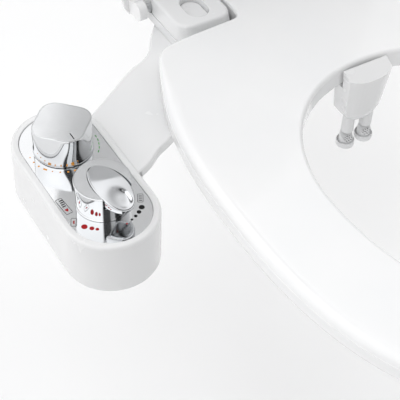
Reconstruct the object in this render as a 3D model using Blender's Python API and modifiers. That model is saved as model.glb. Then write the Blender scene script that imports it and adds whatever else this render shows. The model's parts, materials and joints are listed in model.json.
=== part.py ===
"""Bidet seat: a seat ring and lid on two hinge blocks, clamped over a thin bidet
attachment with a control housing at the left and two sliding nozzles at the centre.

Frame: metres, +X to the right as seen from the front, -Y to the front, +Z up.
The origin is on the underside of the mounting plate, midway between the two seat
bolts, so z = 0 is the top of the bowl that the plate lies on.
The seat is down and the lid is raised.
"""
import math

import bmesh
import bpy
from mathutils import Matrix, Vector

MM = 0.001
GAP = 0.3 * MM                     # running and fitting gap between neighbours

# Control housing, a stadium in plan
HOUSING_X, HOUSING_Y = -250 * MM, -130 * MM
HOUSING_RUN = 41.4 * MM            # half of its straight sides
HOUSING_RADIUS = 37.5 * MM
HOUSING_WALL = 2.5 * MM
HOUSING_BOTTOM, HOUSING_TOP = -36 * MM, 11 * MM
FACE_RADIUS = 31 * MM
FACE_BACK, FACE_TOP = 8.2 * MM, 10 * MM
STEM_HOLE_RADIUS = 10 * MM

# Knobs on the housing
REAR_KNOB_Y, FRONT_KNOB_Y = -95 * MM, -161 * MM
KNOB_BOTTOM = FACE_TOP + GAP
REAR_KNOB_TOP, FRONT_KNOB_TOP = 36 * MM, 34 * MM
REAR_KNOB_RADIUS = 23.3 * MM
FRONT_KNOB_RADIUS = 20.5 * MM
FRONT_KNOB_FLARE = 0.8 * MM        # the top is this much wider
LEVER_TURN = math.radians(10)      # the lever points this far right of the front
LEVER_TILT = math.radians(10.7)
LEVER_HALF_WIDTH, LEVER_HALF_LENGTH = 14 * MM, 23 * MM
LEVER_REACH = 7.5 * MM             # its middle is this far from the knob's axis
LEVER_MIDDLE_Z = 27.2 * MM
LEVER_THICKNESS = 6 * MM
STEM_RADIUS = 4 * MM

# Mounting plate and its arm
PLATE_TOP = 7.5 * MM
PLATE_WALL = 1.6 * MM
PLATE_BASE_TOP = 1.2 * MM
PLATE_REAR_AND_RIGHT = [(-188, -53), (-161, -35.5), (-139, -25), (-122, -2), (-104, 16), (-80, 22),
                        (-40, 22.5), (40, 22.5), (80, 22), (104, 14), (116, -8), (113, -40), (96, -72),
                        (68, -100), (36, -126), (24, -128.4), (-24, -128.4), (-36, -126)]
PLATE_FRONT_LEFT = [(-70, -110), (-110, -103), (-146, -110), (-171, -123), (-186, -130), (-199, -139)]
SLIDER_RADIUS = 19.5 * MM
TUBE_RADIUS = 2.1 * MM

# Seat bolts and hinges
BOLT_X = 78 * MM
BOLT_RADIUS = 3.5 * MM
BOLT_END = -64 * MM
DECK_THICKNESS = 28 * MM           # thickness of the bowl between the plate and the nuts
HINGE_Y, HINGE_Z = 16 * MM, 19.5 * MM
PIN_RADIUS = 4 * MM
BLOCK_X = 88 * MM
BLOCK_HALF_WIDTH = 26 * MM
BLOCK_FRONT, BLOCK_REAR = -39 * MM, 25 * MM
BLOCK_BASE_TOP, BLOCK_TOP = 16.2 * MM, 30 * MM
BUTTON_X = 86 * MM
BUTTON_Y, BUTTON_RUN, BUTTON_RADIUS = -12 * MM, 5 * MM, 9.6 * MM
BUTTON_BOTTOM, BUTTON_TOP = 19.4 * MM, 24 * MM

# Seat ring
SEAT_BOTTOM, SEAT_TOP = 10 * MM, 28 * MM
SEAT_HALF_WIDTH, SEAT_WIDEST_Y, SEAT_FRONT_RUN, SEAT_POWER = 185, -245, 235, 2.45
SEAT_SIDE = [(184, -205), (181, -170), (175.5, -138), (167, -108), (156, -80), (147, -61)]
SEAT_CORNER = [(141, -51), (133, -45), (122, -42.5)]
TAB_HALF_WIDTH = 57
OPENING_HALF_WIDTH, OPENING_WIDEST_Y, OPENING_POWER = 112.5, -260, 2.1
OPENING_REAR_RUN, OPENING_FRONT_RUN = 124, 160

# Lid
LID_ANGLE = math.radians(102)
LID_BOTTOM, LID_TOP = 31.8 * MM, 36.8 * MM
LID_REAR = 23
LID_SIDE = [(186.5, -205), (183.5, -170), (178, -138), (170, -108), (160, -80), (151, -58),
            (142, -34), (134, -4), (131, 16), (127, LID_REAR)]
EAR_INNER, EAR_OUTER = 119 * MM, 127 * MM
EAR_RADIUS = 8.5 * MM

# Nozzle unit
GUARD_REAR, GUARD_FRONT = -128.8 * MM, -155 * MM
GUARD_TOP, GUARD_WAIST, GUARD_SHOULDER, GUARD_BOTTOM = 8 * MM, -3 * MM, -20 * MM, -27 * MM
CREST_REAR, CREST_LOW, CREST_HIGH = -139.5 * MM, 19.5 * MM, 26.5 * MM
NOZZLE_X, NOZZLE_Y = 9.5 * MM, -141.5 * MM
NOZZLE_RADIUS, COLLAR_RADIUS = 5.3 * MM, 6.3 * MM
NOZZLE_TOP, NOZZLE_TIP = -14 * MM, -50 * MM
HEAD_RADIUS, HEAD_BOTTOM, HEAD_TOP = 7.9 * MM, -58 * MM, -49.5 * MM

# Rubber pads
SEAT_PADS = [(140, -165), (-140, -165), (112, -388), (-112, -388)]
LID_PADS = [(150, -215), (-150, -215), (95, -425), (-95, -425)]


def clear_scene():
    for thing in list(bpy.data.objects):
        bpy.data.objects.remove(thing, do_unlink=True)


def new_collection(name):
    collection = bpy.data.collections.new(name)
    bpy.context.scene.collection.children.link(collection)
    return collection


def new_material(name, colour, roughness, metallic=0.0):
    material = bpy.data.materials.new(name)
    material.use_nodes = True
    shader = material.node_tree.nodes["Principled BSDF"]
    shader.inputs["Base Color"].default_value = (*colour, 1.0)
    shader.inputs["Roughness"].default_value = roughness
    shader.inputs["Metallic"].default_value = metallic
    return material


clear_scene()
PARTS = new_collection("bidet_seat")
CUTTERS = new_collection("cutters")
WHITE = new_material("white_gloss", (0.90, 0.90, 0.89), 0.18)
CHROME = new_material("chrome", (0.82, 0.84, 0.85), 0.08, 1.0)
STEEL = new_material("steel", (0.62, 0.63, 0.64), 0.30, 1.0)
BRASS = new_material("brass", (0.80, 0.62, 0.30), 0.30, 1.0)
RUBBER = new_material("rubber", (0.82, 0.82, 0.80), 0.65)
BLACK_RUBBER = new_material("black_rubber", (0.03, 0.03, 0.03), 0.6)
GREY = new_material("grey_plastic", (0.55, 0.56, 0.57), 0.45)
TUBE_CLEAR = new_material("tube", (0.75, 0.80, 0.86), 0.35)


def add_object(name, mesh, material, place=None, parent=None):
    """A new object in the parts collection; place is its matrix."""
    thing = bpy.data.objects.new(name, mesh)
    PARTS.objects.link(thing)
    if material:
        mesh.materials.append(material)
    if place is not None:
        thing.matrix_world = place
    if parent is not None:
        thing.parent = parent
    for face in mesh.polygons:
        face.use_smooth = True
    mesh.set_sharp_from_angle(angle=math.radians(35))
    return thing


def add_axis(name, place, turn=0.0):
    """An empty on a joint's axis; turn is the angle about X at which its pieces stand."""
    empty = bpy.data.objects.new(name, None)
    PARTS.objects.link(empty)
    empty.location = place
    empty.rotation_euler = (turn, 0, 0)
    return empty


def outward(mesh):
    """Weld a mesh and turn all its faces outward."""
    bm = bmesh.new()
    bm.from_mesh(mesh)
    bmesh.ops.remove_doubles(bm, verts=bm.verts, dist=0.00001)
    bmesh.ops.recalc_face_normals(bm, faces=bm.faces)
    bm.to_mesh(mesh)
    bm.free()
    return mesh


def mesh_of_curve(curve, name):
    """The closed mesh of a curve whose caps have been welded on."""
    guide = bpy.data.objects.new(name + "_curve", curve)
    PARTS.objects.link(guide)
    bpy.context.view_layer.update()
    evaluated = guide.evaluated_get(bpy.context.evaluated_depsgraph_get())
    mesh = bpy.data.meshes.new_from_object(evaluated)
    bpy.data.objects.remove(guide)
    return outward(mesh)


def prism(name, loops, low, high, material=WHITE, origin=(0, 0, 0), parent=None):
    """A flat outline, with any inner loops as holes, from height low to height high."""
    curve = bpy.data.curves.new(name, "CURVE")
    curve.dimensions = "2D"
    curve.fill_mode = "BOTH"
    curve.extrude = (high - low) / 2
    for loop in loops:
        spline = curve.splines.new("POLY")
        spline.points.add(len(loop) - 1)
        spline.use_cyclic_u = True
        for point, (x, y) in zip(spline.points, loop):
            point.co = (x, y, 0, 1)
    mesh = mesh_of_curve(curve, name)
    lift = Matrix.Translation(Vector((0, 0, (high + low) / 2)) - Vector(origin))
    mesh.transform(lift)
    return add_object(name, mesh, material, Matrix.Translation(origin) if parent is None else None, parent)


def turned(name, profile, place, material, steps=24, parent=None, along_x=False):
    """A profile of (radius, height) points, from the top down, turned about its axis."""
    closed = profile[0] == profile[-1]
    points = profile[:-1] if closed else profile
    count = len(points)
    edges = [(i, (i + 1) % count) for i in range(count if closed else count - 1)]
    mesh = bpy.data.meshes.new(name)
    mesh.from_pydata([(r, 0, z) for r, z in points], edges, [])
    matrix = Matrix.Translation(place)
    if along_x:
        matrix = matrix @ Matrix.Rotation(math.pi / 2, 4, "Y")
    thing = add_object(name, mesh, material, matrix if parent is None else None, parent)
    if parent is not None:
        thing.matrix_local = matrix
    screw = thing.modifiers.new("turn", "SCREW")
    screw.steps = screw.render_steps = steps
    screw.use_merge_vertices = True
    screw.merge_threshold = 0.00001
    screw.use_smooth_shade = True
    return thing


def rod(name, radius, low, high, place, material, steps=24, parent=None, along_x=False):
    """A plain cylinder from low to high along its axis through place."""
    profile = [(0, high), (radius, high), (radius, low), (0, low)]
    return turned(name, profile, place, material, steps, parent, along_x)


def loft(name, rings, material=WHITE, parent=None, origin=(0, 0, 0)):
    """A closed solid through rings of (x, y, z) points, the first one lowest."""
    bm = bmesh.new()
    rows = [[bm.verts.new(Vector(p) - Vector(origin)) for p in ring] for ring in rings]
    count = len(rings[0])
    for low, high in zip(rows, rows[1:]):
        for i in range(count):
            j = (i + 1) % count
            bm.faces.new((low[i], low[j], high[j], high[i]))
    bm.faces.new(list(reversed(rows[0])))
    bm.faces.new(rows[-1])
    bmesh.ops.recalc_face_normals(bm, faces=bm.faces)
    mesh = bpy.data.meshes.new(name)
    bm.to_mesh(mesh)
    bm.free()
    return add_object(name, mesh, material, Matrix.Translation(origin) if parent is None else None, parent)


def tube(name, points, radius, material, resolution=2):
    """A round tube or wire through the points, with filled ends."""
    curve = bpy.data.curves.new(name, "CURVE")
    curve.dimensions = "3D"
    curve.bevel_depth = radius
    curve.bevel_resolution = resolution
    curve.use_fill_caps = True
    spline = curve.splines.new("POLY")
    spline.points.add(len(points) - 1)
    for point, place in zip(spline.points, points):
        point.co = (*place, 1)
    return add_object(name, mesh_of_curve(curve, name), material)


def combine(thing, other, operation):
    """Join or cut thing with another object, which becomes a hidden cutter."""
    for collection in list(other.users_collection):
        collection.objects.unlink(other)
    CUTTERS.objects.link(other)
    other.hide_render = True
    other.display_type = "WIRE"
    boolean = thing.modifiers.new(other.name, "BOOLEAN")
    boolean.operation = operation
    boolean.solver = "EXACT"
    boolean.object = other


def cut(thing, *cutters):
    """Cut thing, then weld the slivers that the cuts leave."""
    for cutter in cutters:
        combine(thing, cutter, "DIFFERENCE")
    weld = thing.modifiers.new("weld", "WELD")
    weld.merge_threshold = 0.00002


def bevel_rims(thing, heights, width, segments=2):
    """Round the sharp edges that lie at one of the heights, in the object's own frame."""
    bm = bmesh.new()
    bm.from_mesh(thing.data)
    weights = bm.edges.layers.float.new("bevel_weight_edge")
    for edge in bm.edges:
        z = [v.co.z for v in edge.verts]
        level = any(max(abs(z[0] - h), abs(z[1] - h)) < 0.00002 for h in heights)
        if level and edge.calc_face_angle(0) > 0.5:
            edge[weights] = 1.0
    bm.to_mesh(thing.data)
    bm.free()
    bevel = thing.modifiers.new("rim", "BEVEL")
    bevel.limit_method = "WEIGHT"
    bevel.width = width
    bevel.segments = segments


def arc(cx, cy, radius, start, end, steps):
    """Points on a circle from start to end degrees."""
    angles = [math.radians(start + (end - start) * i / steps) for i in range(steps + 1)]
    return [(cx + radius * math.cos(a), cy + radius * math.sin(a)) for a in angles]


def stadium(cx, cy, run, radius, steps=10):
    """A slot outline whose straight sides run along Y for run each way."""
    return arc(cx, cy + run, radius, 0, 180, steps) + arc(cx, cy - run, radius, 180, 360, steps)


def rounded_box(x0, x1, y0, y1, radius, steps=4):
    return (arc(x1 - radius, y1 - radius, radius, 0, 90, steps)
            + arc(x0 + radius, y1 - radius, radius, 90, 180, steps)
            + arc(x0 + radius, y0 + radius, radius, 180, 270, steps)
            + arc(x1 - radius, y0 + radius, radius, 270, 360, steps))


def smooth(points, steps=3):
    """An open run of points in millimetres, eased into a smooth curve in metres."""
    padded = [points[0]] + list(points) + [points[-1]]
    out = []
    for a, b, c, d in zip(padded, padded[1:], padded[2:], padded[3:]):
        for i in range(steps):
            t = i / steps
            out.append(tuple(
                MM * 0.5 * (2 * q + (r - p) * t + (2 * p - 5 * q + 4 * r - s) * t * t
                            + (3 * q - p - 3 * r + s) * t ** 3)
                for p, q, r, s in zip(a, b, c, d)))
    out.append((points[-1][0] * MM, points[-1][1] * MM))
    return out


def superellipse(half_width, widest_y, run, power, start, end, steps):
    """Points in metres from start to end degrees of an oval whose ends are full or lean."""
    out = []
    for i in range(steps + 1):
        angle = math.radians(start + (end - start) * i / steps)
        c, s = math.cos(angle), math.sin(angle)
        x = math.copysign(abs(c) ** (2 / power), c) * half_width
        y = widest_y + math.copysign(abs(s) ** (2 / power), s) * run
        out.append((x * MM, y * MM))
    return out


def mirrored(right_half):
    """Close a right half, given from the front middle round to the rear middle."""
    left = [(-x, y) for x, y in reversed(right_half) if x > 0.00001]
    return right_half + left


def plate_outline(inset=0.0):
    """The mounting plate and its arm; an inset outline stops outside the housing wall."""
    end = HOUSING_X + HOUSING_RADIUS
    left_x = (end - 8 * MM) / MM if inset == 0 else (end + inset) / MM
    points = [(left_x, -74)] + PLATE_REAR_AND_RIGHT + PLATE_FRONT_LEFT + [(left_x, -148)]
    loop = smooth(points, 2)
    if inset == 0:
        return loop
    moved = []
    count = len(loop)
    for i, (x, y) in enumerate(loop):
        before, after = loop[(i - 1) % count], loop[(i + 1) % count]
        along = Vector((after[0] - before[0], after[1] - before[1])).normalized()
        inward = Vector((along.y, -along.x))
        near_end = i in (0, count - 1)
        step = inward * inset if not near_end else Vector((0, inward.y)) * inset
        moved.append((x + step.x, y + step.y))
    return moved


def make_control_shell():
    """The white housing, its arm and the top of the mounting plate: one moulding, open below."""
    shell = prism("control_shell", [stadium(HOUSING_X, HOUSING_Y, HOUSING_RUN, HOUSING_RADIUS, 14)],
                  HOUSING_BOTTOM, HOUSING_TOP)
    bevel_rims(shell, [HOUSING_TOP], 2.6 * MM, 3)
    plate = prism("plate_form", [plate_outline()], 0, PLATE_TOP)
    bevel_rims(plate, [PLATE_TOP], 1.8 * MM, 2)
    combine(shell, plate, "UNION")
    for side in (-1, 1):
        cut(shell, rod("slider_hole_top" + str(side), SLIDER_RADIUS + GAP, -MM, 9 * MM,
                       (side * BOLT_X, 0, 0), None, 28))
    inner = HOUSING_RADIUS - HOUSING_WALL
    cut(shell,
        prism("housing_room", [stadium(HOUSING_X, HOUSING_Y, HOUSING_RUN, inner)],
              HOUSING_BOTTOM - MM, 6 * MM),
        prism("face_window", [stadium(HOUSING_X, HOUSING_Y, HOUSING_RUN, FACE_RADIUS - 3 * MM)],
              5 * MM, HOUSING_TOP + MM),
        prism("face_seat", [stadium(HOUSING_X, HOUSING_Y, HOUSING_RUN, FACE_RADIUS + GAP, 14)],
              FACE_BACK - GAP, HOUSING_TOP + MM),
        prism("arm_passage", [rounded_box(-0.218, -0.206, -0.128, -0.092, 0.001, 1)],
              PLATE_BASE_TOP, PLATE_TOP - PLATE_WALL - 0.1 * MM),
        prism("nozzle_passage", [rounded_box(-0.014, 0.014, -0.131, -0.120, 0.001, 1)],
              PLATE_BASE_TOP, PLATE_TOP - PLATE_WALL - 0.1 * MM),
        prism("plate_room", [plate_outline(PLATE_WALL)], -MM, PLATE_TOP - PLATE_WALL))


def make_plate_base():
    base = prism("plate_base", [plate_outline(PLATE_WALL + GAP)], 0, PLATE_BASE_TOP)
    for side in (-1, 1):
        cut(base, rod("slider_hole_base" + str(side), SLIDER_RADIUS + GAP, -MM, 9 * MM,
                      (side * BOLT_X, 0, 0), None, 28))


SCREW_PLACES = [(HOUSING_X + dx, HOUSING_Y + dy) for dx in (-13 * MM, 13 * MM) for dy in (-36 * MM, 36 * MM)]
BASE_TOP = HOUSING_BOTTOM + 2.5 * MM


def make_control_base():
    inner = HOUSING_RADIUS - HOUSING_WALL - GAP
    base = prism("control_base", [stadium(HOUSING_X, HOUSING_Y, HOUSING_RUN, inner)], HOUSING_BOTTOM, BASE_TOP,
                 GREY)
    cut(base, rod("inlet_hole", 11 * MM, -0.05, -0.02, (HOUSING_X, HOUSING_Y, 0), None, 24))
    for number, (x, y) in enumerate(SCREW_PLACES):
        cut(base, rod("screw_hole" + str(number), 1.9 * MM, -0.05, -0.03, (x, y, 0), None, 12))


def make_base_screws():
    profile_top = HOUSING_BOTTOM - GAP + 9 * MM
    under_head = HOUSING_BOTTOM - GAP
    head_low = under_head - 1.6 * MM
    profile = [(0, profile_top), (1.5 * MM, profile_top), (1.5 * MM, under_head), (3.2 * MM, under_head),
               (3.2 * MM, head_low + 0.5 * MM), (2.6 * MM, head_low), (0, head_low)]
    for number, (x, y) in enumerate(SCREW_PLACES):
        turned("base_screw_" + str(number + 1), profile, (x, y, 0), STEEL, 12)


def make_face_plate():
    face = prism("face_plate", [stadium(HOUSING_X, HOUSING_Y, HOUSING_RUN, FACE_RADIUS, 14)],
                 FACE_BACK, FACE_TOP, CHROME)
    for name, y in (("rear", REAR_KNOB_Y), ("front", FRONT_KNOB_Y)):
        cut(face, rod(name + "_stem_hole", STEM_HOLE_RADIUS, 0, 0.02, (HOUSING_X, y, 0), None, 24))


def make_valves():
    """The manifold block, its two cartridges, the stem seals and the water inlet."""
    block = prism("valve_manifold", [stadium(HOUSING_X, HOUSING_Y, 33 * MM, 19 * MM)],
                  BASE_TOP + GAP, -18 * MM, GREY)
    for number, (x, y) in enumerate(SCREW_PLACES):
        cut(block, rod("thread_hole" + str(number), 1.8 * MM, -0.04, -0.026, (x, y, 0), None, 12))
    cut(block, rod("inlet_pocket", 8.5 * MM, -0.04, -0.026, (HOUSING_X, HOUSING_Y, 0), None, 24))
    body = [(0, -12 * MM), (4.3 * MM, -12 * MM), (4.3 * MM, 4.5 * MM), (9 * MM, 4.5 * MM), (9 * MM, -1 * MM),
            (16 * MM, -3 * MM), (16 * MM, -17.7 * MM), (0, -17.7 * MM)]
    for name, y in (("selector_cartridge", REAR_KNOB_Y), ("pressure_cartridge", FRONT_KNOB_Y)):
        turned(name, body, (HOUSING_X, y, 0), BRASS, 20)
    for name, y in (("rear_stem_seal", REAR_KNOB_Y), ("front_stem_seal", FRONT_KNOB_Y)):
        bpy.ops.mesh.primitive_torus_add(location=(HOUSING_X, y, 6.7 * MM), major_radius=7 * MM,
                                         minor_radius=1.7 * MM, major_segments=24, minor_segments=8)
        ring = bpy.context.object
        ring.name = ring.data.name = name
        for collection in list(ring.users_collection):
            collection.objects.unlink(ring)
        PARTS.objects.link(ring)
        ring.data.materials.append(BLACK_RUBBER)
    low = -51 * MM
    inlet = [(6.2 * MM, -27 * MM), (8.2 * MM, -27 * MM), (8.2 * MM, BASE_TOP), (10.4 * MM, BASE_TOP),
             (10.4 * MM, low + MM), (9.6 * MM, low), (6.2 * MM, low), (6.2 * MM, -27 * MM)]
    turned("inlet_port", inlet, (HOUSING_X, HOUSING_Y, 0), BRASS, 24)
    hexagon = arc(HOUSING_X, HOUSING_Y, 14.5 * MM, 0, 300, 5)
    hole = arc(HOUSING_X, HOUSING_Y, 10.8 * MM, 0, 345, 23)
    prism("inlet_nut", [hexagon, hole], -40.5 * MM, HOUSING_BOTTOM - GAP, BRASS)


def squircle(radius, swell, z, count=32):
    """A ring that bulges by swell at its four corners."""
    ring = []
    for i in range(count):
        angle = 2 * math.pi * i / count
        r = radius + swell * math.cos(4 * angle)
        ring.append((HOUSING_X + r * math.cos(angle), REAR_KNOB_Y + r * math.sin(angle), z))
    return ring


def make_rear_knob():
    """A round skirt that turns into a rounded square at the top."""
    place = (HOUSING_X, REAR_KNOB_Y, KNOB_BOTTOM)
    axis = add_axis("rear_knob_axis", place)
    rings = [squircle(REAR_KNOB_RADIUS, 0, KNOB_BOTTOM)]
    for rise, radius, swell in ((0.35, 22.6, 0.5), (0.7, 22.0, 1.2), (0.94, 22.0, 1.7), (1.0, 21.4, 1.7)):
        z = KNOB_BOTTOM + rise * (REAR_KNOB_TOP - KNOB_BOTTOM)
        rings.append(squircle(radius * MM, swell * MM, z))
    knob = loft("rear_knob", rings, CHROME, axis, place)
    cut(knob, rod("rear_knob_bore", STEM_RADIUS + GAP, 0, 20.6 * MM, (HOUSING_X, REAR_KNOB_Y, 0), None))
    rod("rear_knob_stem", STEM_RADIUS, -10.5 * MM, 20 * MM, (0, 0, -KNOB_BOTTOM), STEEL, 16, axis)


def lever_outline(grow=0.0):
    """An egg, wider towards its tip, about the lever's own middle."""
    out = []
    for i in range(36):
        angle = 2 * math.pi * i / 36
        y = -(LEVER_HALF_LENGTH + grow) * math.cos(angle)
        fullness = 1 - 0.10 * y / LEVER_HALF_LENGTH
        out.append(((LEVER_HALF_WIDTH + grow) * math.sin(angle) * fullness, y))
    return out


def lever_matrix():
    """From the lever's own frame to the front knob's axis frame."""
    return (Matrix.Rotation(LEVER_TURN, 4, "Z")
            @ Matrix.Translation((0, -LEVER_REACH, LEVER_MIDDLE_Z - KNOB_BOTTOM))
            @ Matrix.Rotation(LEVER_TILT, 4, "X"))


def make_front_knob():
    """A round knob, its spoon-shaped lever and its stem."""
    place = (HOUSING_X, FRONT_KNOB_Y, KNOB_BOTTOM)
    axis = add_axis("front_knob_axis", place)
    height = FRONT_KNOB_TOP - KNOB_BOTTOM
    top_radius = FRONT_KNOB_RADIUS + FRONT_KNOB_FLARE
    profile = [(0, height), (top_radius - 0.8 * MM, height), (top_radius, height - 0.8 * MM),
               (FRONT_KNOB_RADIUS, 0), (0, 0)]
    knob = turned("front_knob", profile, (0, 0, 0), CHROME, 36, axis)
    pocket = prism("lever_pocket", [lever_outline(GAP)], -LEVER_THICKNESS / 2 - GAP, 20 * MM, None, (0, 0, 0),
                   axis)
    pocket.matrix_local = lever_matrix()
    bore = rod("front_knob_bore", STEM_RADIUS + GAP, -5 * MM, 8.6 * MM, (0, 0, 0), None, 24, axis)
    cut(knob, pocket, bore)
    lever = prism("front_lever", [lever_outline()], -LEVER_THICKNESS / 2, LEVER_THICKNESS / 2, CHROME,
                  (0, 0, 0), axis)
    lever.matrix_local = lever_matrix()
    bevel_rims(lever, [LEVER_THICKNESS / 2, -LEVER_THICKNESS / 2], 1.4 * MM, 2)
    rod("front_knob_stem", STEM_RADIUS, -20.8 * MM, 8 * MM, (0, 0, 0), STEEL, 16, axis)


def make_tubes():
    """The two water tubes from the valves along the arm to the nozzle unit."""
    middle = (PLATE_BASE_TOP + PLATE_TOP - PLATE_WALL) / 2
    routes = {
        "rear_wash_tube": [(-222, -108), (-205, -107), (-180, -96), (-150, -80), (-110, -68), (-60, -72),
                           (-22, -86), (0, -100), (7, -112), (7, -120)],
        "front_wash_tube": [(-222, -120), (-205, -119), (-180, -106), (-150, -90), (-110, -78), (-60, -82),
                            (-28, -96), (-12, -106), (-7, -114), (-7, -120)]}
    for name, route in routes.items():
        inside = route[0][1] * MM
        rise = [(-0.229, inside, -3 * MM), (-0.228, inside, 1 * MM)]
        run = [(x, y, middle) for x, y in smooth(route, 2)]
        tube(name, rise + run, TUBE_RADIUS, TUBE_CLEAR)


def guard_ring(half_width, rear, front, z, corner=6 * MM):
    return [(x, y, z) for x, y in rounded_box(-half_width, half_width, front, rear, corner, 4)]


def make_nozzle_guard():
    """A tapered shroud with a raised, sloping brow, and two holes in its floor for the nozzles."""
    outer = [guard_ring(12.5 * MM, GUARD_REAR - 3 * MM, GUARD_FRONT + 7 * MM, GUARD_BOTTOM),
             guard_ring(17.6 * MM, GUARD_REAR, GUARD_FRONT + 4.5 * MM, GUARD_SHOULDER),
             guard_ring(18.6 * MM, GUARD_REAR, GUARD_FRONT + 2 * MM, GUARD_WAIST),
             guard_ring(20.4 * MM, GUARD_REAR, GUARD_FRONT + MM, GUARD_TOP)]
    guard = loft("nozzle_guard", outer)
    foot = guard_ring(18.6 * MM, CREST_REAR, GUARD_FRONT + 3 * MM, 4 * MM, 3 * MM)
    brow = guard_ring(21 * MM, CREST_REAR, GUARD_FRONT, 0, 5 * MM)
    slope = (CREST_HIGH - CREST_LOW) / (CREST_REAR - GUARD_FRONT)
    brow = [(x, y, CREST_LOW + (y - GUARD_FRONT) * slope) for x, y, z in brow]
    combine(guard, loft("guard_crest", [foot, brow]), "UNION")
    room = [guard_ring(16.2 * MM, GUARD_REAR - 2 * MM, GUARD_FRONT + 6 * MM, -18.5 * MM, 4 * MM),
            guard_ring(16.8 * MM, GUARD_REAR - 2 * MM, GUARD_FRONT + 4 * MM, 6.2 * MM, 4 * MM)]
    cut(guard, loft("guard_room", room),
        prism("guard_rear_slot", [rounded_box(-0.014, 0.014, -0.134, -0.120, 0.001, 1)],
              PLATE_BASE_TOP, PLATE_TOP - PLATE_WALL))
    for side in (-1, 1):
        cut(guard, rod("nozzle_hole" + str(side), NOZZLE_RADIUS + GAP, -0.04, -0.01,
                       (side * NOZZLE_X, NOZZLE_Y, 0), None, 20))


def coil_points(x, y, low, high, radius, turns, per_turn=12):
    count = turns * per_turn
    return [(x + radius * math.cos(2 * math.pi * i / per_turn), y + radius * math.sin(2 * math.pi * i / per_turn),
             low + (high - low) * i / count) for i in range(count + 1)]


def make_nozzles():
    """Two nozzles, each a stem with a collar and a spray head, and a spring round each stem."""
    rose = (NOZZLE_TOP + NOZZLE_TIP) / 2
    for name, side in (("front_wash", -1), ("rear_wash", 1)):
        place = (side * NOZZLE_X, NOZZLE_Y, rose)
        axis = add_axis(name + "_axis", place)
        top, tip = NOZZLE_TOP - rose, NOZZLE_TIP - rose
        stem = [(1.8 * MM, top), (COLLAR_RADIUS, top), (COLLAR_RADIUS, top - 1.6 * MM),
                (NOZZLE_RADIUS, top - 1.6 * MM), (NOZZLE_RADIUS, tip + MM), (NOZZLE_RADIUS - 0.8 * MM, tip),
                (1.8 * MM, tip), (1.8 * MM, top)]
        turned(name + "_stem", stem, (0, 0, 0), WHITE, 20, axis)
        head_top, head_low = HEAD_TOP - rose, HEAD_BOTTOM - rose
        head = [(0, tip - GAP), (5.7 * MM, tip - GAP), (5.7 * MM, head_top), (HEAD_RADIUS, head_top),
                (HEAD_RADIUS, head_low + 2.5 * MM), (5.5 * MM, head_low), (0, head_low)]
        turned(name + "_head", head, (0, 0, 0), WHITE, 24, axis)
        tube(name + "_spring", coil_points(side * NOZZLE_X, NOZZLE_Y, -17.9 * MM, -16.2 * MM, 5.95 * MM, 1, 14),
             0.28 * MM, STEEL)


def make_sliders_and_bolts():
    """Each seat bolt with the slotted disc, washer and nut that clamp the plate to the bowl."""
    for name, side in (("left", -1), ("right", 1)):
        x = side * BOLT_X
        disc = rod(name + "_slider_disc", SLIDER_RADIUS, 0, PLATE_TOP, (x, 0, 0), GREY, 28)
        cut(disc, prism(name + "_slider_slot", [stadium(x, 0, 6 * MM, 4.5 * MM, 8)], -MM, 9 * MM, None))
        head_top = 15.4 * MM
        bolt = [(0, head_top), (7 * MM, head_top), (7.6 * MM, head_top - 0.6 * MM), (7.6 * MM, 11.8 * MM),
                (BOLT_RADIUS, 11.8 * MM), (BOLT_RADIUS, BOLT_END + MM), (BOLT_RADIUS - MM, BOLT_END), (0, BOLT_END)]
        turned(name + "_seat_bolt", bolt, (x, 0, 0), STEEL, 16)
        washer_top = -DECK_THICKNESS
        washer = [(4.2 * MM, washer_top), (13 * MM, washer_top), (13 * MM, washer_top - 3 * MM),
                  (4.2 * MM, washer_top - 3 * MM), (4.2 * MM, washer_top)]
        turned(name + "_bolt_washer", washer, (x, 0, 0), RUBBER, 24)
        nut_top = washer_top - 3 * MM - GAP
        nut = [(3.9 * MM, nut_top), (12 * MM, nut_top), (12 * MM, nut_top - 3 * MM), (8.5 * MM, nut_top - 5 * MM),
               (8.5 * MM, nut_top - 18 * MM), (3.9 * MM, nut_top - 18 * MM), (3.9 * MM, nut_top)]
        wing_nut = turned(name + "_wing_nut", nut, (x, 0, 0), WHITE, 20)
        for wing in (-1, 1):
            start, end = sorted((wing * 7 * MM, wing * 17 * MM))
            blade = prism(name + "_wing" + str(wing),
                          [rounded_box(x + start, x + end, -1.6 * MM, 1.6 * MM, 1.2 * MM, 2)],
                          nut_top - 17 * MM, nut_top - 4 * MM, None)
            combine(wing_nut, blade, "UNION")


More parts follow.
